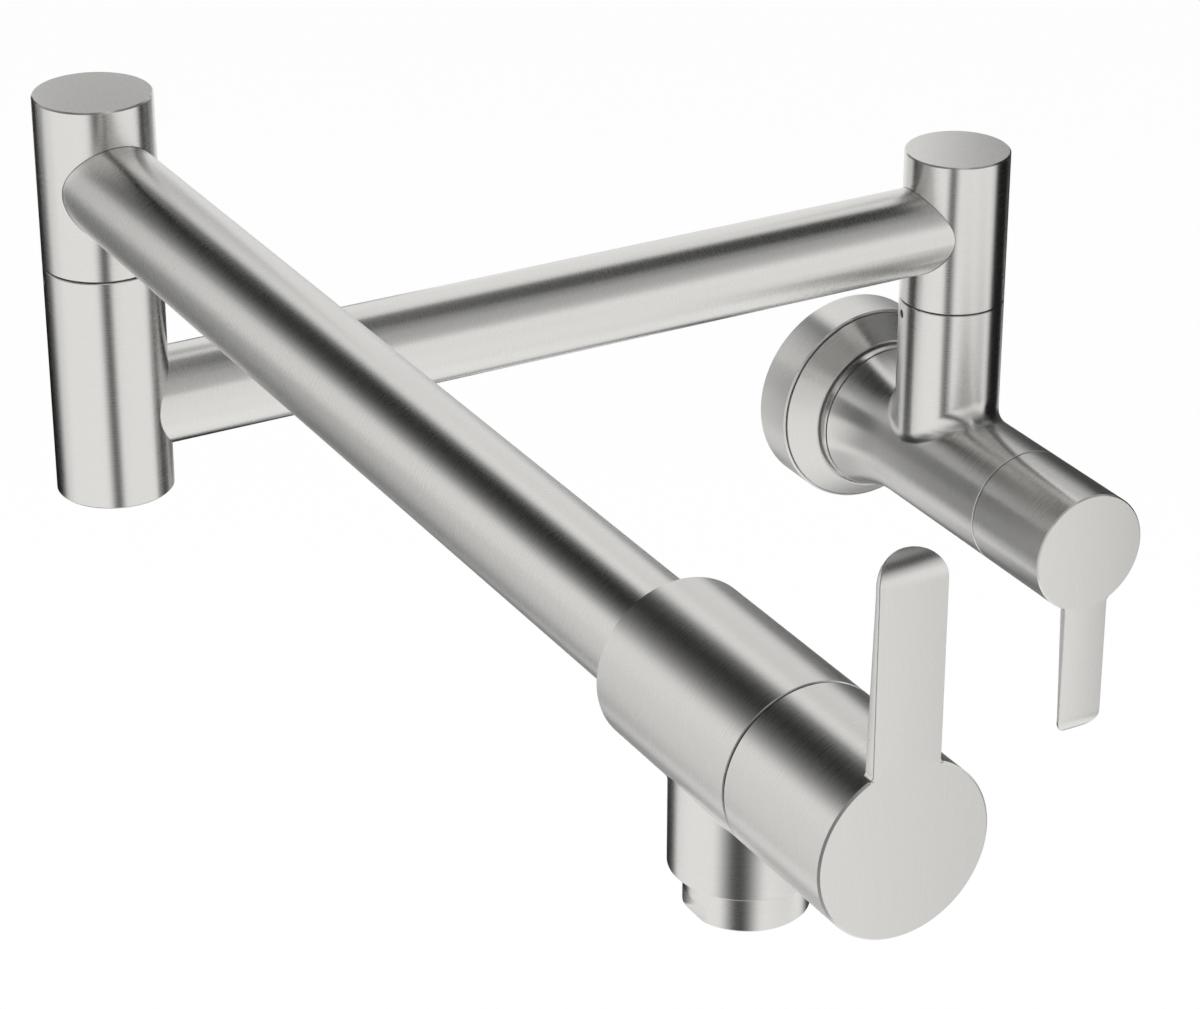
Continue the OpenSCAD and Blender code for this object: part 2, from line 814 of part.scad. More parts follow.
// Flow straightener with a hexagonal field of channels
module aerator_insert() {
    low = aerator_lip_h - aerator_show + film;
    color("lightgray") difference() {
        rod(aerator_bore_r - seated_fit, low, aerator_thread_len - insert_drop);
        for (p = hex_grid(insert_pitch, insert_rings)) translate(p)
            rod(insert_hole_r, low - overrun, aerator_thread_len + overrun);
    }
}

module aerator_washer() {
    color("dimgray") sleeve(aerator_thread_r - film, spout_water_r, aerator_thread_len,
        aerator_thread_len + washer_t - film);
}

wall_flange();
flange_gasket();
valve_body();
inlet_strainer();
at_rear_seat() seat_seal();  // rear_seat_seal
at_rear_seat() fixed_disc();  // rear_fixed_disc
at_rear_seat() bonnet();  // rear_bonnet
at_rear_seat() bonnet_o_ring();  // rear_bonnet_o_ring
at_rear_seat() guide_ring();  // rear_guide_ring
at_post_1() slide_ring(seam_1_z);  // post_1_slide_ring
at_post_1() post_grub_screw(seam_1_z);  // post_1_grub_screw
at_rear_seat() handle(180);  // rear_handle
at_rear_seat() spindle();  // rear_spindle
at_rear_seat() moving_disc();  // rear_moving_disc
at_rear_seat() spindle_o_rings();  // rear_spindle_o_rings
at_rear_seat() spindle_clip();  // rear_spindle_clip
at_rear_seat() handle_screw();  // rear_handle_screw
at_post_1() post_upper(seam_1_z, arm_1_height, top_1_z, 180);  // post_1_upper
at_post_1() spigot(seam_1_z);  // post_1_spigot
at_post_1() spigot_o_rings(seam_1_z);  // post_1_o_rings
at_post_1() arm_1_tube();
at_post_2() post_2_lower();
at_post_2() slide_ring(seam_2_z);  // post_2_slide_ring
at_post_2() post_grub_screw(seam_2_z);  // post_2_grub_screw
at_post_2() post_upper(seam_2_z, arm_2_height, top_2_z, -90);  // post_2_upper
at_post_2() spigot(seam_2_z);  // post_2_spigot
at_post_2() spigot_o_rings(seam_2_z);  // post_2_o_rings
at_post_2() arm_2_tube();
at_post_2() outlet_body();
at_front_seat() seat_seal();  // front_seat_seal
at_front_seat() fixed_disc();  // front_fixed_disc
at_front_seat() bonnet();  // front_bonnet
at_front_seat() bonnet_o_ring();  // front_bonnet_o_ring
at_front_seat() guide_ring();  // front_guide_ring
at_post_2() at_spout_end() aerator_housing();
at_post_2() at_spout_end() aerator_insert();
at_post_2() at_spout_end() aerator_washer();
at_front_seat() handle(0);  // front_handle
at_front_seat() spindle();  // front_spindle
at_front_seat() moving_disc();  // front_moving_disc
at_front_seat() spindle_o_rings();  // front_spindle_o_rings
at_front_seat() spindle_clip();  // front_spindle_clip
at_front_seat() handle_screw();  // front_handle_screw
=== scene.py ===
# %% [markdown]
# This lesson dresses a wall mounted pot filler: two tube arms that swing on two posts, with a
# valve at each end. The sizes and places come from a finished frame, so this script only makes
# the surfaces that a person sees: turned barrels, tubes, cast levers and their brushed finish.

# %% Load the frame
import json
import math

import bmesh
import bpy
from mathutils import Matrix, Vector

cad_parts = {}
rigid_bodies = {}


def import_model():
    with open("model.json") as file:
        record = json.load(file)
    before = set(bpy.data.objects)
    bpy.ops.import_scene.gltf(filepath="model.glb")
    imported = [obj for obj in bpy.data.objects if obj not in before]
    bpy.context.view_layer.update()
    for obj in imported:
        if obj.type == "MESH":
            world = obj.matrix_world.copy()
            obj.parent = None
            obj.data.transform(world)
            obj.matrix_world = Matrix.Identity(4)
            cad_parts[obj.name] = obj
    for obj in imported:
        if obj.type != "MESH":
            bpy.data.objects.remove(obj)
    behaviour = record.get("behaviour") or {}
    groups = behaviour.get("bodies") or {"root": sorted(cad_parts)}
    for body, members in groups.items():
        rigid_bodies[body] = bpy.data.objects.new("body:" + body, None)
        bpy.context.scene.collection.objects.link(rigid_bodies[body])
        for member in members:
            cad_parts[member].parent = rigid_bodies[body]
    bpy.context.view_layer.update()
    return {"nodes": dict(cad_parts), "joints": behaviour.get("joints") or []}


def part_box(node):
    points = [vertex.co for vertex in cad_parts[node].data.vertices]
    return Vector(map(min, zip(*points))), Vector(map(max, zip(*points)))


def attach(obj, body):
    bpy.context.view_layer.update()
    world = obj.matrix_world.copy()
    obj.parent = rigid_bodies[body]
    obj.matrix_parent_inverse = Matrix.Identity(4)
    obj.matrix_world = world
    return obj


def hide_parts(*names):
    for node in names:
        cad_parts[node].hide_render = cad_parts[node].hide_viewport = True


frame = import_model()
mm = 0.001

# %% [markdown]
# The places of the two posts come from the frame's joints, and the three radii that the tap
# repeats come from the boxes of its nodes, so they follow the frame if it is made again. Every
# other size is in millimetres, as on a drawing. The rear valve's axis starts at the origin.

# %% Places and radii
pivot = {joint["name"]: Vector(joint["pos_m"]) for joint in frame["joints"]}
post_1_at = Vector((pivot["arm_1_swivel"].x, pivot["arm_1_swivel"].y, 0))
post_2_at = Vector((pivot["arm_2_swivel"].x, pivot["arm_2_swivel"].y, 0))
rear_valve = Vector((0, 0, 0))
arm_1_up, arm_2_up = 73, 135.5
top_1, top_2 = 95, 157.5
seam_1, seam_2, seam_gap = 50.5, 113, 0.2


def half(node, axis):
    low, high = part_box(node)
    return round((high[axis] - low[axis]) / 2 / mm, 2)


def above(at, height):
    return at + Vector((0, 0, height * mm))


sleeve_r = half("post_1_upper", 0)
tube_r = half("arm_1_tube", 2)
barrel_r = half("outlet_body", 0)
print("posts at", post_1_at, post_2_at)
print("radii in mm: sleeve", sleeve_r, "tube", tube_r, "barrel", barrel_r)

# %% [markdown]
# Nearly every visible piece is turned, as on a lathe. By hand that is one vertex, extruded from
# point to point along the piece's outline and then spun round the axis. A spun outline keeps its
# chamfers crisp and its rings evenly spaced, which a cylinder with a bevel doesn't promise.

# %% Lathe helpers
around = 192
weld = 0.002 * mm
smooth_below = 30


def rest():
    if bpy.context.object and bpy.context.object.mode != "OBJECT":
        bpy.ops.object.mode_set(mode="OBJECT")
    bpy.ops.object.select_all(action="DESELECT")


def turned(name, outline):
    rest()
    bpy.ops.mesh.primitive_plane_add(size=mm, location=(0, 0, 0))
    piece = bpy.context.object
    piece.name = name
    bpy.ops.object.mode_set(mode="EDIT")
    bpy.ops.mesh.select_all(action="SELECT")
    bpy.ops.mesh.merge(type="CENTER")
    radius, height = outline[0]
    bpy.ops.transform.translate(value=(radius, 0, height))
    for (r_0, h_0), (r_1, h_1) in zip(outline, outline[1:] + outline[:1]):
        step = (r_1 - r_0, 0, h_1 - h_0)
        bpy.ops.mesh.extrude_vertices_move(TRANSFORM_OT_translate={"value": step})
    bpy.ops.mesh.select_all(action="SELECT")
    bpy.ops.mesh.spin(steps=around, angle=math.tau, center=(0, 0, 0), axis=(0, 0, 1))
    bpy.ops.mesh.select_all(action="SELECT")
    bpy.ops.mesh.remove_doubles(threshold=weld)
    bpy.ops.mesh.normals_make_consistent(inside=False)
    bpy.ops.object.mode_set(mode="OBJECT")
    return piece


def axes(z_way, y_way):
    z_way, y_way = Vector(z_way), Vector(y_way)
    return Matrix((y_way.cross(z_way), y_way, z_way)).transposed().to_4x4()


upright = axes((0, 0, 1), (0, 1, 0))
to_user = axes((0, -1, 0), (0, 0, 1))
to_left = axes((-1, 0, 0), (0, 0, 1))
to_right = axes((1, 0, 0), (0, 0, 1))
downward = axes((0, 0, -1), (0, 1, 0))


def place(piece, origin, turn):
    rest()
    piece.select_set(True)
    bpy.context.view_layer.objects.active = piece
    piece.matrix_world = Matrix.Translation(origin) @ turn
    bpy.ops.object.transform_apply(location=True, rotation=True, scale=True)
    return piece


def smooth(piece):
    rest()
    piece.select_set(True)
    bpy.context.view_layer.objects.active = piece
    bpy.ops.object.shade_smooth_by_angle(angle=math.radians(smooth_below))


def carve(piece, tool, how="DIFFERENCE"):
    rest()
    piece.select_set(True)
    bpy.context.view_layer.objects.active = piece
    cut = piece.modifiers.new("cut", "BOOLEAN")
    cut.operation, cut.object, cut.solver = how, tool, "MANIFOLD"
    bpy.ops.object.modifier_apply(modifier=cut.name)
    bpy.data.objects.remove(tool)
    return piece


def arc(centre_r, centre_h, radius, start, end, steps):
    turn = [math.radians(start + (end - start) * i / steps) for i in range(steps + 1)]
    return [(centre_r + radius * math.cos(a), centre_h + radius * math.sin(a)) for a in turn]


print("lathe ready with", around, "steps")

# %% [markdown]
# Brushing leaves fine grooves round each turned piece, and light spreads across the grooves. The
# shader needs to know their direction, so each piece gets a UV map whose U axis runs across the
# grooves: along the axis on a turned side, and across the strokes on a flat face. A fillet is
# brushed round the branch that it belongs to.

# %% Brush direction as a UV map
uv_unit = 10 * mm
flat_above = 0.8
hair = 0.02 * mm


def on_fillet(face, main, branch, width, start):
    """Is a face outside the main form, past start along it, and within width of the branch?"""
    along_main = main[1] @ (face.center - main[0])
    past = (branch[1] @ (face.center - branch[0])).xy.length - branch[2]
    return along_main.xy.length > main[2] + hair and along_main.z > start and hair < past < width


def brush_map(piece, forms, flat_beyond=None, fillet=None):
    """forms: origin, turn and radius of each turned form; a face takes the one whose side it fits.
    fillet: its width, and where it starts along the first form; the second form is the branch."""
    layer = piece.data.uv_layers.get("brush") or piece.data.uv_layers.new(name="brush")
    piece.data.uv_layers.active = layer
    rows = [(origin, turn.to_3x3().inverted(), radius) for origin, turn, radius in forms]
    points, loops = piece.data.vertices, piece.data.loops
    for face in piece.data.polygons:
        def misfit(row):
            at, normal = row[1] @ (face.center - row[0]), row[1] @ face.normal
            return abs(at.xy.length - row[2]) / mm + 20 * abs(normal.z)
        lean = 1 if fillet and on_fillet(face, *rows, *fillet) else 0
        origin, back = (rows[1] if lean else min(rows, key=misfit))[:2]
        flat = not lean and abs((back @ face.normal).z) > flat_above
        if flat_beyond is not None:
            flat = flat or (back @ (face.center - origin)).xy.length > flat_beyond
        first = None
        for loop in face.loop_indices:
            local = back @ (points[loops[loop].vertex_index].co - origin)
            if flat:
                uv = (local.x / uv_unit, local.y / uv_unit)
            else:
                angle = math.atan2(local.y, local.x)
                first = angle if first is None else first
                angle += math.tau * round((first - angle) / math.tau)
                uv = ((local.z - lean * local.xy.length) / uv_unit, angle)
            layer.data[loop].uv = uv


print("brush map helper ready")

# %% [markdown]
# Where two round parts of one casting meet, a small fillet is left by the mould. A ball of the
# fillet's radius that rolls in the corner touches both cylinders, and the strip between the two
# lines of contact is the fillet's surface. This ring is made from that rule, point by point,
# because no edit-mode bevel keeps an even radius round such a saddle. Its hidden edges bite a
# little into the metal, so that the union has no slivers.

# %% Fillet ring between crossing cylinders
clear, buried = 0.01, 1.6


def fillet_ring(name, branch_r, main_r, fillet, sections=128, steps=8, bite=0.12):
    reach = branch_r + fillet + clear
    outer = main_r + fillet + clear
    rings = []
    for i in range(sections):
        a = math.tau * i / sections
        ball = Vector((reach * math.cos(a), reach * math.sin(a), 0))
        ball.z = math.sqrt(outer * outer - ball.x * ball.x)
        to_branch = Vector((-math.cos(a), -math.sin(a), 0))
        to_main = -Vector((ball.x, 0, ball.z)) / outer
        turn = to_branch.angle(to_main)
        ring = []
        for k in range(steps + 1):
            share = k / steps
            way = math.sin((1 - share) * turn) * to_branch + math.sin(share * turn) * to_main
            ring.append(ball + fillet * (way / math.sin(turn)))
        ring.append(ball + (fillet + bite) * to_main)
        ring.append(ball + buried * fillet * (to_branch + to_main))
        ring.append(ball + (fillet + bite) * to_branch)
        rings.append([point * mm for point in ring])
    mesh = bmesh.new()
    verts = [[mesh.verts.new(point) for point in ring] for ring in rings]
    for i in range(sections):
        here, there = verts[i], verts[(i + 1) % sections]
        for k in range(len(here)):
            nxt = (k + 1) % len(here)
            mesh.faces.new((here[k], here[nxt], there[nxt], there[k]))
    bmesh.ops.recalc_face_normals(mesh, faces=mesh.faces)
    data = bpy.data.meshes.new(name)
    mesh.to_mesh(data)
    mesh.free()
    ring = bpy.data.objects.new(name, data)
    bpy.context.scene.collection.objects.link(ring)
    return ring


def scaled(outline):
    return [(radius * mm, height * mm) for radius, height in outline]


def solid(name, outline, origin, turn):
    return place(turned(name, scaled(outline)), origin, turn)


def bore(wells, origin, turn):
    """A stepped cutter: rows of (radius, from, to) along one axis, in mm."""
    outline = [(0, wells[0][1])]
    for radius, low, high in wells:
        outline += [(radius, low), (radius, high)]
    outline.append((0, wells[-1][2]))
    return solid("cutter", outline, origin, turn)


def bar(name, radius, low, high, low_edge, high_edge, origin, turn):
    """A round bar with a chamfer at each end, as long as from low to high along the axis."""
    outline = [(0, low), (radius - low_edge, low), (radius, low + low_edge),
               (radius, high - high_edge), (radius - high_edge, high), (0, high)]
    return solid(name, outline, origin, turn)


print("fillet, cutter and bar helpers ready")

# %% [markdown]
# The wall flange is a turned escutcheon: a deep rim, a cone and a shallow recess in which the
# body's foot stands. It is hollow behind, where a rubber gasket and the wall anchor go. The rim
# and the cone meet in a fine groove, which gives the dark line between them. Each point of an
# outline is a radius and a place along the axis.

# %% Wall flange
flange_outline = [(29, 0), (30, 0), (30, 12.9), (29.5, 13.38), (29.5, 12.2), (29.1, 12.2),
                  (29.1, 13.86), (23.3, 21), (22.85, 21), (22.85, 19.2), (22.15, 19.2),
                  (22.15, 20.25), (14.05, 20.25), (14.05, 17.75), (22.2, 17.75), (28, 11.5),
                  (28, 5.5), (26, 3.5), (26, 1.5), (29, 1.5)]
wall_flange = solid("wall_flange_turned", flange_outline, rear_valve, to_user)
print("flange:", len(wall_flange.data.vertices), "points")

# %% [markdown]
# The valve body is one casting, machined and brushed: a trumpet foot, a horizontal barrel for the
# ceramic headpart and a riser for the first swivel. The two outside forms are joined first, and
# the bores are cut afterwards, in the order in which a workshop would do it.

# %% Bores that both castings share
seat_1, seat_2 = 64.5, 303.5
water_r = 6
screw_turn, screw_below = math.radians(-13), 4


def headpart_wells(seat):
    return [(13, seat, seat + 12), (10.4, seat + 12, seat + 22), (13.05, seat + 22, seat + 31)]


def swivel_bore(seam):
    return [(9.55, seam - 26, seam - 1.2), (12.5, seam - 1.2, seam + 1)]


def lock_hole(seam, at):
    turn = Matrix.Rotation(screw_turn, 4, "Z") @ to_left
    return bore([(1.25, 8, 18)], above(at, seam - screw_below), turn)


print("valve seats at", seat_1, "and", seat_2, "mm along their axes")

# %% [markdown]
# The foot's curve is an arc with its centre outside the metal. A fine groove, level with the
# flange's collar, is cut into it for the line that the foot shows there.

# %% Valve body
trumpet_end, riser_round = 43.5, 5.5
trumpet = arc(65.01, trumpet_end, 47.51, 206, 180, 24)
foot_groove = [(21.87, 23.58), (20.9, 23.58), (20.9, 23.98), (21.7, 23.98)]
body_outline = [(0, 0), (14, 0), (14, 20.3), (22.15, 20.3), (22.15, 22.7), trumpet[1]]
body_outline += foot_groove + trumpet[2:] + [(17.5, 94.1), (17.3, 94.3), (0, 94.3)]
valve_body = solid("valve_body_casting", body_outline, rear_valve, to_user)
riser = bar("riser", sleeve_r, 2, seam_1 - seam_gap, 0.2, 0.2, post_1_at, upright)
carve(valve_body, riser, "UNION")
riser_fillet = fillet_ring("riser_fillet", sleeve_r, barrel_r, riser_round, sections=256, steps=16)
carve(valve_body, place(riser_fillet, post_1_at, upright), "UNION")
inlet = [(9.3, -1, 16), (8.7, 16, 17.6), (water_r, 17.6, seat_1)]
carve(valve_body, bore(inlet + headpart_wells(seat_1), rear_valve, to_user))
carve(valve_body, bore([(7, 11, 24.5)] + swivel_bore(seam_1), post_1_at, upright))
carve(valve_body, lock_hole(seam_1, post_1_at))
print("valve body:", len(valve_body.data.vertices), "points")

# %% [markdown]
# Each post is a turned sleeve. The lower one holds the spigot, the upper one turns on it, and a
# thin dark line is left between them. The tube's side hole is a hair wider than the tube, which
# gives the fine line that is seen where an arm enters its post.

# %% Posts
post_bore, tube_hole = 11.5, tube_r + 0.1


def side_hole(at, height, turn):
    return bore([(tube_hole, 4, 20)], above(at, height), turn)


post_1_upper = bar("post_1_upper_sleeve", sleeve_r, seam_1 + seam_gap, top_1, 0.2, 0.4,
                   post_1_at, upright)
carve(post_1_upper, bore([(post_bore, 49, 91)], post_1_at, upright))
carve(post_1_upper, side_hole(post_1_at, arm_1_up, to_left))

post_2_lower = bar("post_2_lower_sleeve", sleeve_r, 51, seam_2 - seam_gap, 0.4, 0.2,
                   post_2_at, upright)
wells = [(post_bore, 55, 85.6), (6.3, 85.6, 87)] + swivel_bore(seam_2)
carve(post_2_lower, bore(wells, post_2_at, upright))
carve(post_2_lower, side_hole(post_2_at, arm_1_up, to_right))
carve(post_2_lower, lock_hole(seam_2, post_2_at))

post_2_upper = bar("post_2_upper_sleeve", sleeve_r, seam_2 + seam_gap, top_2, 0.2, 0.4,
                   post_2_at, upright)
carve(post_2_upper, bore([(post_bore, 112, 153.5)], post_2_at, upright))
carve(post_2_upper, side_hole(post_2_at, arm_2_up, to_user))
print("posts made, with tops at", top_1, "and", top_2, "mm")

# %% [markdown]
# The arms are drawn tubes with a 1.5 mm wall. Their ends are coped to the posts' bores.

# %% Arms
tube_wall, tube_from = 1.5, 4.1
arm_1_axis, arm_2_axis = above(post_1_at, arm_1_up), above(post_2_at, arm_2_up)


def drawn_tube(name, end, origin, turn):
    inner = tube_r - tube_wall
    outline = [(inner, tube_from), (tube_r, tube_from), (tube_r, end), (inner, end)]
    return solid(name, outline, origin, turn)


arm_1 = drawn_tube("arm_1_drawn_tube", 252.9, arm_1_axis, to_left)
carve(arm_1, bore([(post_bore, 50, 100)], post_1_at, upright))
carve(arm_1, bore([(post_bore, 50, 100)], post_2_at, upright))
arm_2 = drawn_tube("arm_2_drawn_tube", 295.5, arm_2_axis, to_user)
carve(arm_2, bore([(post_bore, 110, 160)], post_2_at, upright))
print("arms made:", len(arm_1.data.vertices), "and", len(arm_2.data.vertices), "points")

# %% [markdown]
# The outlet body repeats the valve body's barrel, with a straight spout under it. The spout's
# corner has only a hint of a fillet, which is why it catches a thin light line.

# %% Outlet body
spout_round = 1
spout_at = arm_2_axis + Vector((0, -313.5 * mm, 0))
outlet = bar("outlet_body_casting", barrel_r, 286.5, 333.3, 0.6, 0.2, arm_2_axis, to_user)
carve(outlet, bar("spout", sleeve_r, 1, 29.5, 0.4, 0.4, spout_at, downward), "UNION")
spout_fillet = fillet_ring("spout_fillet", sleeve_r, barrel_r, spout_round, steps=5, bite=0.06)
carve(outlet, place(spout_fillet, spout_at, Matrix.Rotation(math.pi, 4, "X")), "UNION")
tube_seat = [(tube_hole, 285, 295.6), (water_r, 295.6, seat_2)]
carve(outlet, bore(tube_seat + headpart_wells(seat_2), arm_2_axis, to_user))
carve(outlet, bore([(5.4, 8, 17), (8.5, 17, 20.5), (11.4, 20.5, 31)], spout_at, downward))
print("outlet:", len(outlet.data.vertices), "points")

# %% [markdown]
# The aerator's ring screws into the spout. Two flats on it take a spanner, and each is cut by a
# block that reaches from the ring's foot upwards.

# %% Aerator ring
aerator_outline = [(8.8, 38), (11.6, 38), (12, 37.6), (12, 29.8), (11.85, 29.65), (11.3, 29.65),
                   (11.3, 22.1), (9.6, 22.1), (9.6, 36.8), (8.8, 36.8)]
aerator = solid("aerator_ring", aerator_outline, spout_at, downward)
block_wide, block_high, flat_from_axis, foot_at = 24, 7.6, 11.2, 38
for side in (-1, 1):
    rest()
    middle = Vector((side * (flat_from_axis + block_wide / 2) * mm, 0, -foot_at * mm))
    bpy.ops.mesh.primitive_cube_add(size=1, location=spout_at + middle)
    block = bpy.context.object
    block.scale = (block_wide * mm, block_wide * mm, block_high * mm)
    bpy.ops.object.transform_apply(location=True, rotation=True, scale=True)
    carve(aerator, block)
print("aerator ring:", len(aerator.data.vertices), "points")

# %% [markdown]
# The lever is flat and thin, flush with the cap's face, and it rolls over at its tip. It is drawn
# flat first: rows across the lever follow its outline, which widens in a small arc at the cap and
# ends in a half circle.

# %% Lever outline
lever_half, lever_start, flat_end = 7, 9, 58.748
corner_from, corner_at, corner_r, root_half = 15.78, 16.68, 1, 7.57


def lever_width(y):
    if y <= corner_from:
        return root_half
    if y < corner_at:
        return lever_half + corner_r - math.sqrt(corner_r ** 2 - (corner_at - y) ** 2)
    if y <= flat_end - lever_half:
        return lever_half
    return math.sqrt(max(lever_half ** 2 - (y - flat_end + lever_half) ** 2, 0))


def lever_rows(curl_from):
    corner, straight, tip = corner_at - corner_from, curl_from - corner_at, flat_end - lever_half
    rows = [lever_start, corner_from] + [corner_from + corner * i / 8 for i in range(1, 9)]
    rows += [corner_at + straight * i / 16 for i in range(1, 17)] + [curl_from + 0.35]
    return rows + [tip + lever_half * math.sin(math.pi / 2 * i / 36) for i in range(36)]


print("lever from", lever_start, "to", flat_end, "mm, laid flat")

# %% [markdown]
# A small round is left on every edge. The rows are then laid on the real path, straight along the
# face and round the curl, while the lever gets thinner towards its tip.

# %% Lever
curl_from, curl_r = 51.055, 7.6
root_t, tip_t, taper_from, edge_round = 2.6, 1.3, 17.5, 0.3


def thickness(y):
    share = min(max((y - taper_from) / (curl_from - taper_from), 0), 1)
    return root_t + (tip_t - root_t) * share


def on_path(x, y, depth):
    if y <= curl_from:
        return Vector((x, y, -depth))
    turn = (y - curl_from) / curl_r
    radius = curl_r - depth
    return Vector((x, curl_from + radius * math.sin(turn), radius * math.cos(turn) - curl_r))


def lever(name):
    right = [Vector((lever_width(y), y)) for y in lever_rows(curl_from)]
    outline = right + [Vector((0, flat_end))] + [Vector((-p.x, p.y)) for p in reversed(right)]
    rounds = [math.radians(90 * k / 4) for k in range(5)]
    edge = [(edge_round * (1 - math.sin(a)), edge_round * (1 - math.cos(a))) for a in rounds]
    levels = [(inset, 0, sink) for inset, sink in edge]
    levels += [(inset, 1, -sink) for inset, sink in reversed(edge)]
    mesh = bmesh.new()
    loops = []
    count = len(outline)
    for inset, share, sink in levels:
        loop = []
        for i, point in enumerate(outline):
            before, after = outline[max(i - 1, 0)], outline[min(i + 1, count - 1)]
            along = (after - before).normalized()
            inward = Vector((-along.y, along.x))
            at = point + inset * inward
            if i in (0, count - 1):
                at = Vector((point.x - math.copysign(inset, point.x), point.y))
            depth = share * thickness(at.y) + sink
            loop.append(mesh.verts.new(on_path(at.x, at.y, depth) * mm))
        loops.append(loop)
    for lower, upper in zip(loops, loops[1:]):
        for i in range(count):
            nxt = (i + 1) % count
            mesh.faces.new((lower[i], lower[nxt], upper[nxt], upper[i]))
    for loop in (loops[0], loops[-1]):
        middle = count // 2
        for i in range(middle - 1):
            mesh.faces.new((loop[i], loop[i + 1], loop[count - 2 - i], loop[count - 1 - i]))
        mesh.faces.new((loop[middle - 1], loop[middle], loop[middle + 1]))
    bmesh.ops.recalc_face_normals(mesh, faces=mesh.faces)
    data = bpy.data.meshes.new(name)
    mesh.to_mesh(data)
    mesh.free()
    piece = bpy.data.objects.new(name, data)
    bpy.context.scene.collection.objects.link(piece)
    return piece


print("lever curls from", curl_from, "mm on a radius of", curl_r)

# %% [markdown]
# Each turning cap is a hollow cup on a toothed hub, closed by the face that carries the lever. A
# small screw hole under it reaches the hub. The rear lever hangs, and the front one stands.

# %% Turning caps
cap_long, screw_along = 32, 11.75


def cap_with_lever(name, axis_at, seam, way):
    outline = [(15.3, 0.2), (17.3, 0.2), (17.5, 0.4), (17.5, 31.6), (17.1, cap_long), (0, cap_long),
               (0, 19.5), (4.15, 19.5), (4.15, 5.5), (7.4, 5.5), (7.4, 28), (15.3, 28)]
    cap = solid(name, [(radius, seam + height) for radius, height in outline], axis_at, to_user)
    face_at = axis_at + Vector((0, -(seam + cap_long) * mm, 0))
    carve(cap, place(lever(name + "_strip"), face_at, axes((0, -1, 0), (0, 0, way))), "UNION")
    screw_at = axis_at + Vector((0, -(seam + screw_along) * mm, 0))
    carve(cap, bore([(2, 3, 8), (2.3, 8, 20)], screw_at, downward))
    return cap


rear_handle = cap_with_lever("rear_handle_cast", rear_valve, 94.5, -1)
front_handle = cap_with_lever("front_handle_cast", arm_2_axis, 333.5, 1)
print("handles:", len(rear_handle.data.vertices), "points")

# %% [markdown]
# Colours are written as the sRGB hex a person would pick, and turned into linear light in one
# place. Noise sizes are written in millimetres on the real object.

# %% Colour and node helpers
def colour(code):
    channels = [int(code[i:i + 2], 16) / 255 for i in (1, 3, 5)]
    return tuple(c / 12.92 if c <= 0.04045 else ((c + 0.055) / 1.055) ** 2.4 for c in channels) + (1,)


def material(name):
    made = bpy.data.materials.new(name)
    made.use_nodes = True
    made.node_tree.nodes.clear()
    return made.node_tree


def add(tree, kind, links=None, settings=None, **values):
    node = tree.nodes.new(kind)
    for key, value in (settings or {}).items():
        setattr(node, key, value)
    for key, value in values.items():
        node.inputs[key.replace("_", " ")].default_value = value
    for key, source in (links or {}).items():
        tree.links.new(source, node.inputs[key])
    return node


def surface(tree, shader):
    add(tree, "ShaderNodeOutputMaterial", {"Surface": shader.outputs[0]})


print("white is", colour("#ffffff"))

# %% [markdown]
# Brushed stainless steel: the colour is a light neutral grey with a trace of warmth. The grooves
# are finer than a pixel, so they show as a highlight stretched across them and as faint streaks
# that run round each turned piece. The streaks are drawn 0.12 mm wide, as coarse as they need to
# be to show, and a few centimetres long. One helper makes all three brushed finishes.

# %% Brushed metal
streak_wide, groove_deep = 0.12, 0.0006


def brushed(name, code, low, high, anisotropy):
    tree = material(name)
    brush = add(tree, "ShaderNodeUVMap", settings={"uv_map": "brush"})
    strokes = add(tree, "ShaderNodeMapping", {"Vector": brush.outputs["UV"]},
                  Scale=(uv_unit / mm / streak_wide, 0.7, 1))
    noise = add(tree, "ShaderNodeTexNoise", {"Vector": strokes.outputs[0]},
                Scale=1, Detail=3, Roughness=0.6)
    rough = add(tree, "ShaderNodeMapRange", {"Value": noise.outputs["Fac"]},
                From_Min=0.3, From_Max=0.7, To_Min=low, To_Max=high)
    bump = add(tree, "ShaderNodeBump", {"Height": noise.outputs["Fac"]},
               Strength=0.5, Distance=groove_deep * mm)
    tangent = add(tree, "ShaderNodeTangent", settings={"direction_type": "UV_MAP", "uv_map": "brush"})
    shader = add(tree, "ShaderNodeBsdfPrincipled",
                 {"Roughness": rough.outputs[0], "Normal": bump.outputs[0], "Tangent": tangent.outputs[0]},
                 Base_Color=colour(code), Metallic=1, Anisotropic=anisotropy)
    surface(tree, shader)
    return bpy.data.materials[name]


print("streaks in one UV unit:", round(uv_unit / mm / streak_wide))

# %% [markdown]
# The pieces inside are moulded, ground or turned. Each has a fine noise of its own grain that
# stirs the gloss and the surface a little: large and deep on cut rubber, hardly there on lapped
# ceramic.

# %% Moulded, ground and turned materials
def plain(name, code, roughness, metallic=0, grain=0.4, change=0.04, depth=0.004):
    tree = material(name)
    where = add(tree, "ShaderNodeTexCoord")
    noise = add(tree, "ShaderNodeTexNoise", {"Vector": where.outputs["Object"]},
                Scale=1 / (grain * mm), Detail=3)
    rough = add(tree, "ShaderNodeMapRange", {"Value": noise.outputs["Fac"]},
                To_Min=roughness - change, To_Max=roughness + change)
    bump = add(tree, "ShaderNodeBump", {"Height": noise.outputs["Fac"]}, Strength=0.4, Distance=depth * mm)
    shader = add(tree, "ShaderNodeBsdfPrincipled",
                 {"Roughness": rough.outputs[0], "Normal": bump.outputs[0]},
                 Base_Color=colour(code), Metallic=metallic)
    surface(tree, shader)
    return bpy.data.materials[name]


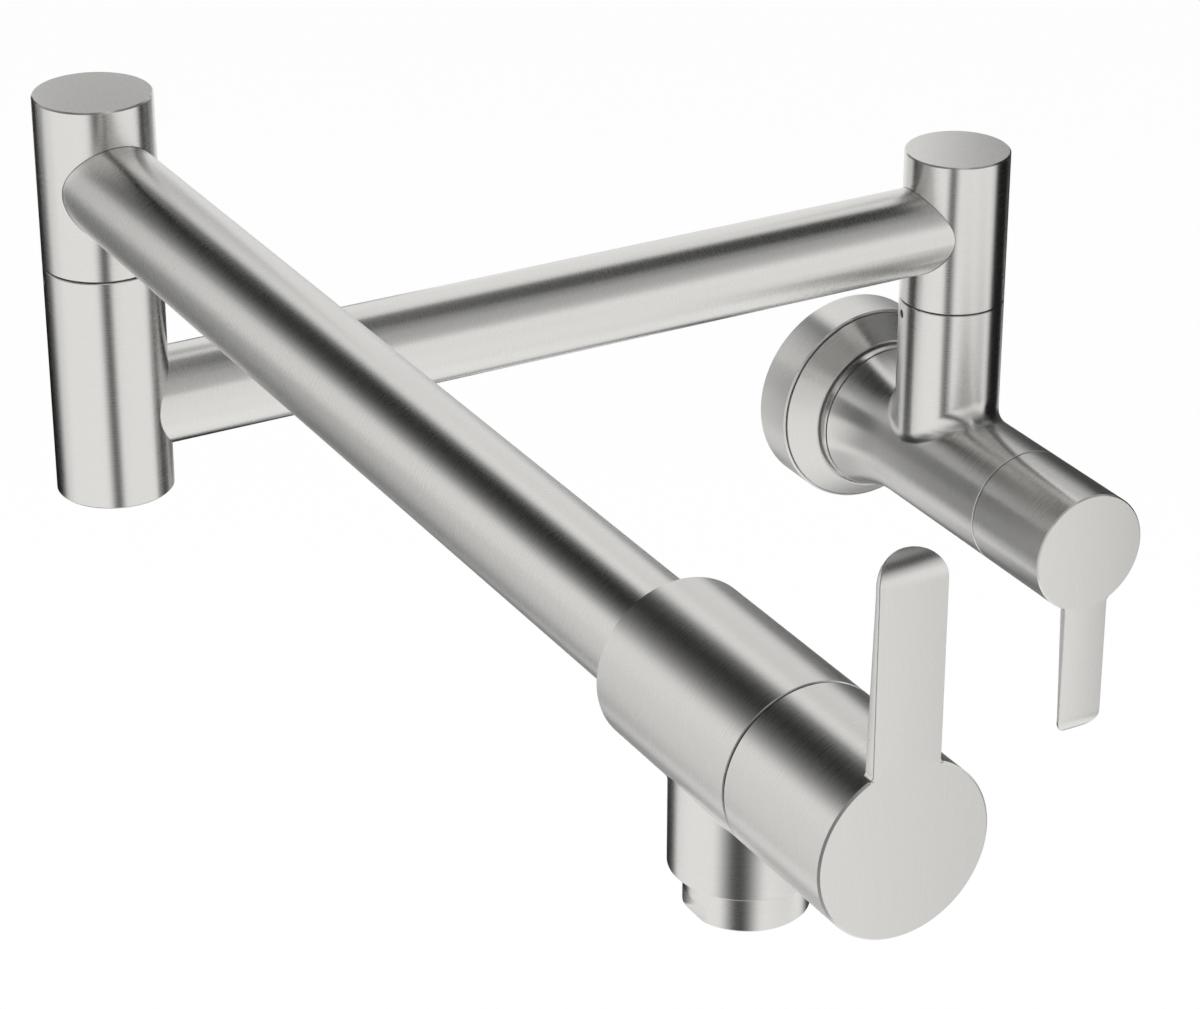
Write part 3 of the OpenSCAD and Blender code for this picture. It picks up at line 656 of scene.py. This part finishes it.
finishes = {
    # Satin steel: long highlights across the grooves. The drawn tube is brushed a little finer.
    "brushed_metal": brushed("brushed_stainless_casting", "#deddda", 0.26, 0.31, 0.9),
    "tube_metal": brushed("brushed_stainless_tube", "#deddda", 0.25, 0.3, 0.9),
    "lever_metal": brushed("brushed_stainless_lever", "#deddda", 0.26, 0.31, 0.9),
    # Turned brass: warm yellow with a clear, slightly broken highlight.
    "brass_turned": plain("turned_brass", "#d9b56a", 0.28, metallic=1),
    # Lapped alumina: near white and almost polished, since two discs have to seal face to face.
    "ceramic_lapped": plain("lapped_alumina_ceramic", "#f1efe9", 0.18, grain=0.1, depth=0.001),
    # Moulded rubber: black with a dull sheen. The cut gasket is duller, with a rougher skin.
    "rubber_black": plain("moulded_nitrile_rubber", "#232322", 0.6, grain=0.3),
    "rubber_gasket": plain("cut_rubber_sheet_gasket", "#2b2b2a", 0.75, grain=0.5, depth=0.02),
    # Moulded acetal: milky white with a soft gloss.
    "plastic_white": plain("moulded_white_acetal_ring", "#dcdcd8", 0.45, grain=0.5),
    "plastic_insert": plain("moulded_acetal_insert", "#e9e8e4", 0.4, grain=0.5),
    # Blackened and perforated steel: dark and light grey metal with a fine grain.
    "steel_screw": plain("blackened_steel_screw", "#5c5a57", 0.35, metallic=1, grain=0.2),
    "strainer_steel": plain("perforated_stainless_sheet", "#cfcecb", 0.3, metallic=1, grain=0.2),
}
for node in frame["nodes"].values():
    for holder in node.material_slots:
        holder.material = finishes[holder.material.name.split(".")[0]]
print("finishes:", sorted(finishes))

# %% [markdown]
# Every piece is tied to the body it turns with, and it takes the place of the plain node of the
# frame. The brush direction follows the axis the piece was turned on.

# %% Finish and tie the pieces
def dress(piece, node, body, slot, forms, flat_beyond=None, fillet=None):
    rest()
    piece.select_set(True)
    bpy.context.view_layer.objects.active = piece
    bpy.ops.object.mode_set(mode="EDIT")
    bpy.ops.mesh.select_all(action="SELECT")
    bpy.ops.mesh.remove_doubles(threshold=weld)
    bpy.ops.mesh.normals_make_consistent(inside=False)
    bpy.ops.object.mode_set(mode="OBJECT")
    smooth(piece)
    brush_map(piece, forms, flat_beyond, fillet)
    piece.data.materials.clear()
    piece.data.materials.append(finishes[slot])
    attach(piece, body)
    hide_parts(node)


flange_r, aerator_r, past_edge = 30, 12, 0.1
valve_forms = [(rear_valve, to_user, barrel_r * mm), (post_1_at, upright, sleeve_r * mm)]
outlet_forms = [(arm_2_axis, to_user, barrel_r * mm), (spout_at, downward, sleeve_r * mm)]
post_1_form = [(post_1_at, upright, sleeve_r * mm)]
post_2_form = [(post_2_at, upright, sleeve_r * mm)]
lever_from = (barrel_r + past_edge) * mm
riser_fillet_span = ((riser_round + past_edge) * mm, trumpet_end * mm)
spout_fillet_span = ((spout_round + past_edge) * mm, 0)
dress(wall_flange, "wall_flange", "wall_unit", "brushed_metal", [(rear_valve, to_user, flange_r * mm)])
dress(valve_body, "valve_body", "wall_unit", "brushed_metal", valve_forms, fillet=riser_fillet_span)
dress(rear_handle, "rear_handle", "rear_handle", "lever_metal", valve_forms[:1], flat_beyond=lever_from)
dress(post_1_upper, "post_1_upper", "arm_1", "brushed_metal", post_1_form)
dress(arm_1, "arm_1_tube", "arm_1", "tube_metal", [(arm_1_axis, to_left, tube_r * mm)])
dress(post_2_lower, "post_2_lower", "arm_1", "brushed_metal", post_2_form)
dress(post_2_upper, "post_2_upper", "arm_2", "brushed_metal", post_2_form)
dress(arm_2, "arm_2_tube", "arm_2", "tube_metal", [(arm_2_axis, to_user, tube_r * mm)])
dress(outlet, "outlet_body", "arm_2", "brushed_metal", outlet_forms, fillet=spout_fillet_span)
dress(aerator, "aerator_housing", "arm_2", "brushed_metal", [(spout_at, downward, aerator_r * mm)])
dress(front_handle, "front_handle", "front_handle", "lever_metal", outlet_forms[:1],
      flat_beyond=lever_from)
print("dressed pieces tied to their bodies")

# %% [markdown]
# The picture is taken from above and from the left, with a long lens. The floor is far below, so
# that the object seems to float on white as in a catalogue picture, and it still keeps a shadow.

# %% Camera, floor and world
camera = bpy.data.objects.new("camera", bpy.data.cameras.new("camera"))
bpy.context.scene.collection.objects.link(camera)
camera.location = (-0.5803, -0.8951, 0.4842)
azimuth, elevation = math.radians(-28.957), math.radians(26.203)
looking = -Vector((math.sin(azimuth) * math.cos(elevation), -math.cos(azimuth) * math.cos(elevation),
                   math.sin(elevation)))
camera.rotation_euler = looking.to_track_quat("-Z", "Y").to_euler()
camera.data.lens = 115.8
camera.data.sensor_width = 36
camera.data.clip_end = 100
bpy.context.scene.camera = camera
bpy.context.scene.view_settings.view_transform = "Standard"

world = bpy.data.worlds.new("studio")
bpy.context.scene.world = world
world.use_nodes = True
world.node_tree.nodes["Background"].inputs["Color"].default_value = (1, 1, 1, 1)
world.node_tree.nodes["Background"].inputs["Strength"].default_value = 1

rest()
bpy.ops.mesh.primitive_plane_add(size=30, location=(0, 0, -0.6))
floor = bpy.context.object
floor.name = "floor"
tree = material("white_studio_floor")
facing = add(tree, "ShaderNodeNewGeometry")
matt = add(tree, "ShaderNodeBsdfDiffuse", Color=colour("#fcfcfc"))
clear = add(tree, "ShaderNodeBsdfTransparent")
both = add(tree, "ShaderNodeMixShader",
           {0: facing.outputs["Backfacing"], 1: matt.outputs[0], 2: clear.outputs[0]})
surface(tree, both)
floor.data.materials.append(bpy.data.materials["white_studio_floor"])
print("camera at", tuple(camera.location))

# %% [markdown]
# Polished and brushed metal looks like whatever stands round it. The dark lines of the picture
# come from soft grey cards: a narrow gap between two softboxes at the camera, cards behind, at
# the right and below, a dark ceiling, and small flags close to the valve, the lever, the posts'
# tops and the caps. Each card fades out towards its edges, and only reflections see it.

# %% A soft card
def card(name, centre, faces, wide, high, grey, soft, upright_way=(0, 0, 1)):
    """soft holds how far each edge fades, in metres: left, right, bottom and top."""
    rest()
    bpy.ops.mesh.primitive_plane_add(size=1, location=(0, 0, 0))
    piece = bpy.context.object
    piece.name = name
    piece.scale = (wide, high, 1)
    bpy.ops.object.transform_apply(location=False, rotation=False, scale=True)
    out = Vector(faces).normalized()
    side = Vector(upright_way).cross(out).normalized()
    turn = Matrix((side, out.cross(side), out)).transposed().to_4x4()
    piece.matrix_world = Matrix.Translation(Vector(centre)) @ turn
    tree = material(name)
    where = add(tree, "ShaderNodeTexCoord")
    axis = add(tree, "ShaderNodeSeparateXYZ", {0: where.outputs["Object"]})
    cover = None
    edges = (("X", -wide / 2, soft[0]), ("X", wide / 2, -soft[1]),
             ("Y", -high / 2, soft[2]), ("Y", high / 2, -soft[3]))
    for letter, start, reach in edges:
        fade = add(tree, "ShaderNodeMapRange", {"Value": axis.outputs[letter]},
                   settings={"interpolation_type": "SMOOTHSTEP"}, From_Min=start, From_Max=start + reach)
        if cover is None:
            cover = fade
        else:
            cover = add(tree, "ShaderNodeMath", {0: cover.outputs[0], 1: fade.outputs[0]},
                        settings={"operation": "MULTIPLY"})
    glow = add(tree, "ShaderNodeEmission", Color=colour("#" + "%02x" % grey * 3), Strength=1)
    clear = add(tree, "ShaderNodeBsdfTransparent")
    faded = add(tree, "ShaderNodeMixShader",
                {0: cover.outputs[0], 1: clear.outputs[0], 2: glow.outputs[0]})
    surface(tree, faded)
    piece.data.materials.append(bpy.data.materials[name])
    piece.visible_camera = piece.visible_diffuse = piece.visible_shadow = False
    piece.visible_transmission = piece.visible_volume_scatter = False


print("card helper ready")

# %% [markdown]
# Every card's place was worked back from a band in the picture: the view is mirrored in the metal
# there, and the card stands where the mirrored ray arrives. Sizes are in metres.

# %% Cards and flags
card("gap_at_camera", (-0.4, -0.52, -0.05), (0.4, 0.52, 0), 0.34, 2.4, 78, (0.16, 0.16, 0.2, 0.2))
card("card_behind_left", (-0.41, 0.25, -0.16), (0, -1, 0), 0.58, 0.58, 10, (0.25, 0.08, 0.15, 0.14))
card("card_under_valve", (-0.06, 0.06, -0.125), (0, -1, 0), 0.17, 0.11, 240, (0.03, 0.03, 0.03, 0.03))
card("card_by_flange", (-0.055, 0.045, 0.0), (0, -1, 0), 0.085, 0.18, 226, (0.02, 0.02, 0.03, 0.03))
card("flag_left_of_valve", (-0.16, 0.08, 0.04), (1, 0, 0), 0.26, 0.11, 5, (0.04, 0.04, 0.035, 0.03))
card("flag_over_lever", (-0.21, -0.466, 0.25), (-0.434, 0.57, -0.7), 0.12, 0.055, 12,
     (0.03, 0.03, 0.02, 0.01))
card("card_below_behind", (0.0, 0.36, -0.42), (0, 0, 1), 0.9, 0.64, 40, (0.15, 0.15, 0.12, 0.12),
     (0, 1, 0))
card("card_far_left", (-1.0, 0.28, 0.0), (0, -1, 0), 1.1, 1.0, 245, (0.5, 0.3, 0.2, 0.2))
card("card_behind_right", (0.47, 0.25, 0.1), (0, -1, 0), 0.6, 0.7, 70, (0.16, 0.1, 0.1, 0.1))
card("card_right", (0.45, -0.08, 0), (-1, 0, 0), 0.6, 1.2, 30, (0.1, 0.1, 0.1, 0.1))
card("ceiling_behind", (-1.55, 2.1, 1.3), (0, 0, -1), 3.06, 5.6, 15, (0.14, 2.5, 0.4, 0.6), (0, 1, 0))
card("ceiling_right", (0.95, -0.24, 1.31), (0, 0, -1), 1.9, 1.58, 8, (0.3, 0.25, 0.7, 0.35), (0, 1, 0))
card("ceiling_front", (0.2, -3.2, 1.32), (0, 0, -1), 4.4, 5.6, 185, (1.2, 1.2, 4.5, 0.4), (0, 1, 0))

off_top, flag_far = Vector((0.434, 0.785, 0.4416)), 0.13
off_rear_cap, off_front_cap = Vector((0.538, -0.713, -0.449)), Vector((0.481, -0.708, -0.519))
over_post_1 = above(post_1_at, top_1) + Vector((0.0432, -0.0239, 0)) + flag_far * off_top
over_post_2 = above(post_2_at, top_2) + flag_far * off_top
cap_fade = (0.005, 0.06, 0.02, 0.02)
card("flag_over_post_1", over_post_1, -off_top, 0.12, 0.08, 165, (0.035, 0.02, 0.02, 0.02))
card("flag_over_post_2", over_post_2, -off_top, 0.12, 0.08, 190, (0.025, 0.025, 0.02, 0.02))
card("flag_before_rear_cap", (0.0467, -0.158, -0.043), -off_rear_cap, 0.08, 0.12, 190, cap_fade)
card("flag_before_front_cap", (-0.2185, -0.455, 0.1244), -off_front_cap, 0.08, 0.13, 226, cap_fade)
card("card_behind_far_end", (-0.385, 0.27, 0.15), (0, -1, 0), 0.29, 0.38, 15, (0.14, 0.05, 0.08, 0.12))

# %% [markdown]
# One large lamp gives the floor its faint shadow. It is hidden from reflections, because the
# metal has its cards.

# %% Key light
key = bpy.data.objects.new("key_light", bpy.data.lights.new("key_light", "AREA"))
bpy.context.scene.collection.objects.link(key)
key.location = (-0.9, -1.0, 1.6)
key.rotation_euler = (Vector((-0.12, -0.2, 0.1)) - key.location).to_track_quat("-Z", "Y").to_euler()
key.data.shape = "RECTANGLE"
key.data.size, key.data.size_y, key.data.energy = 1.0, 1.0, 4
key.visible_glossy = False
print("key light at", tuple(key.location))
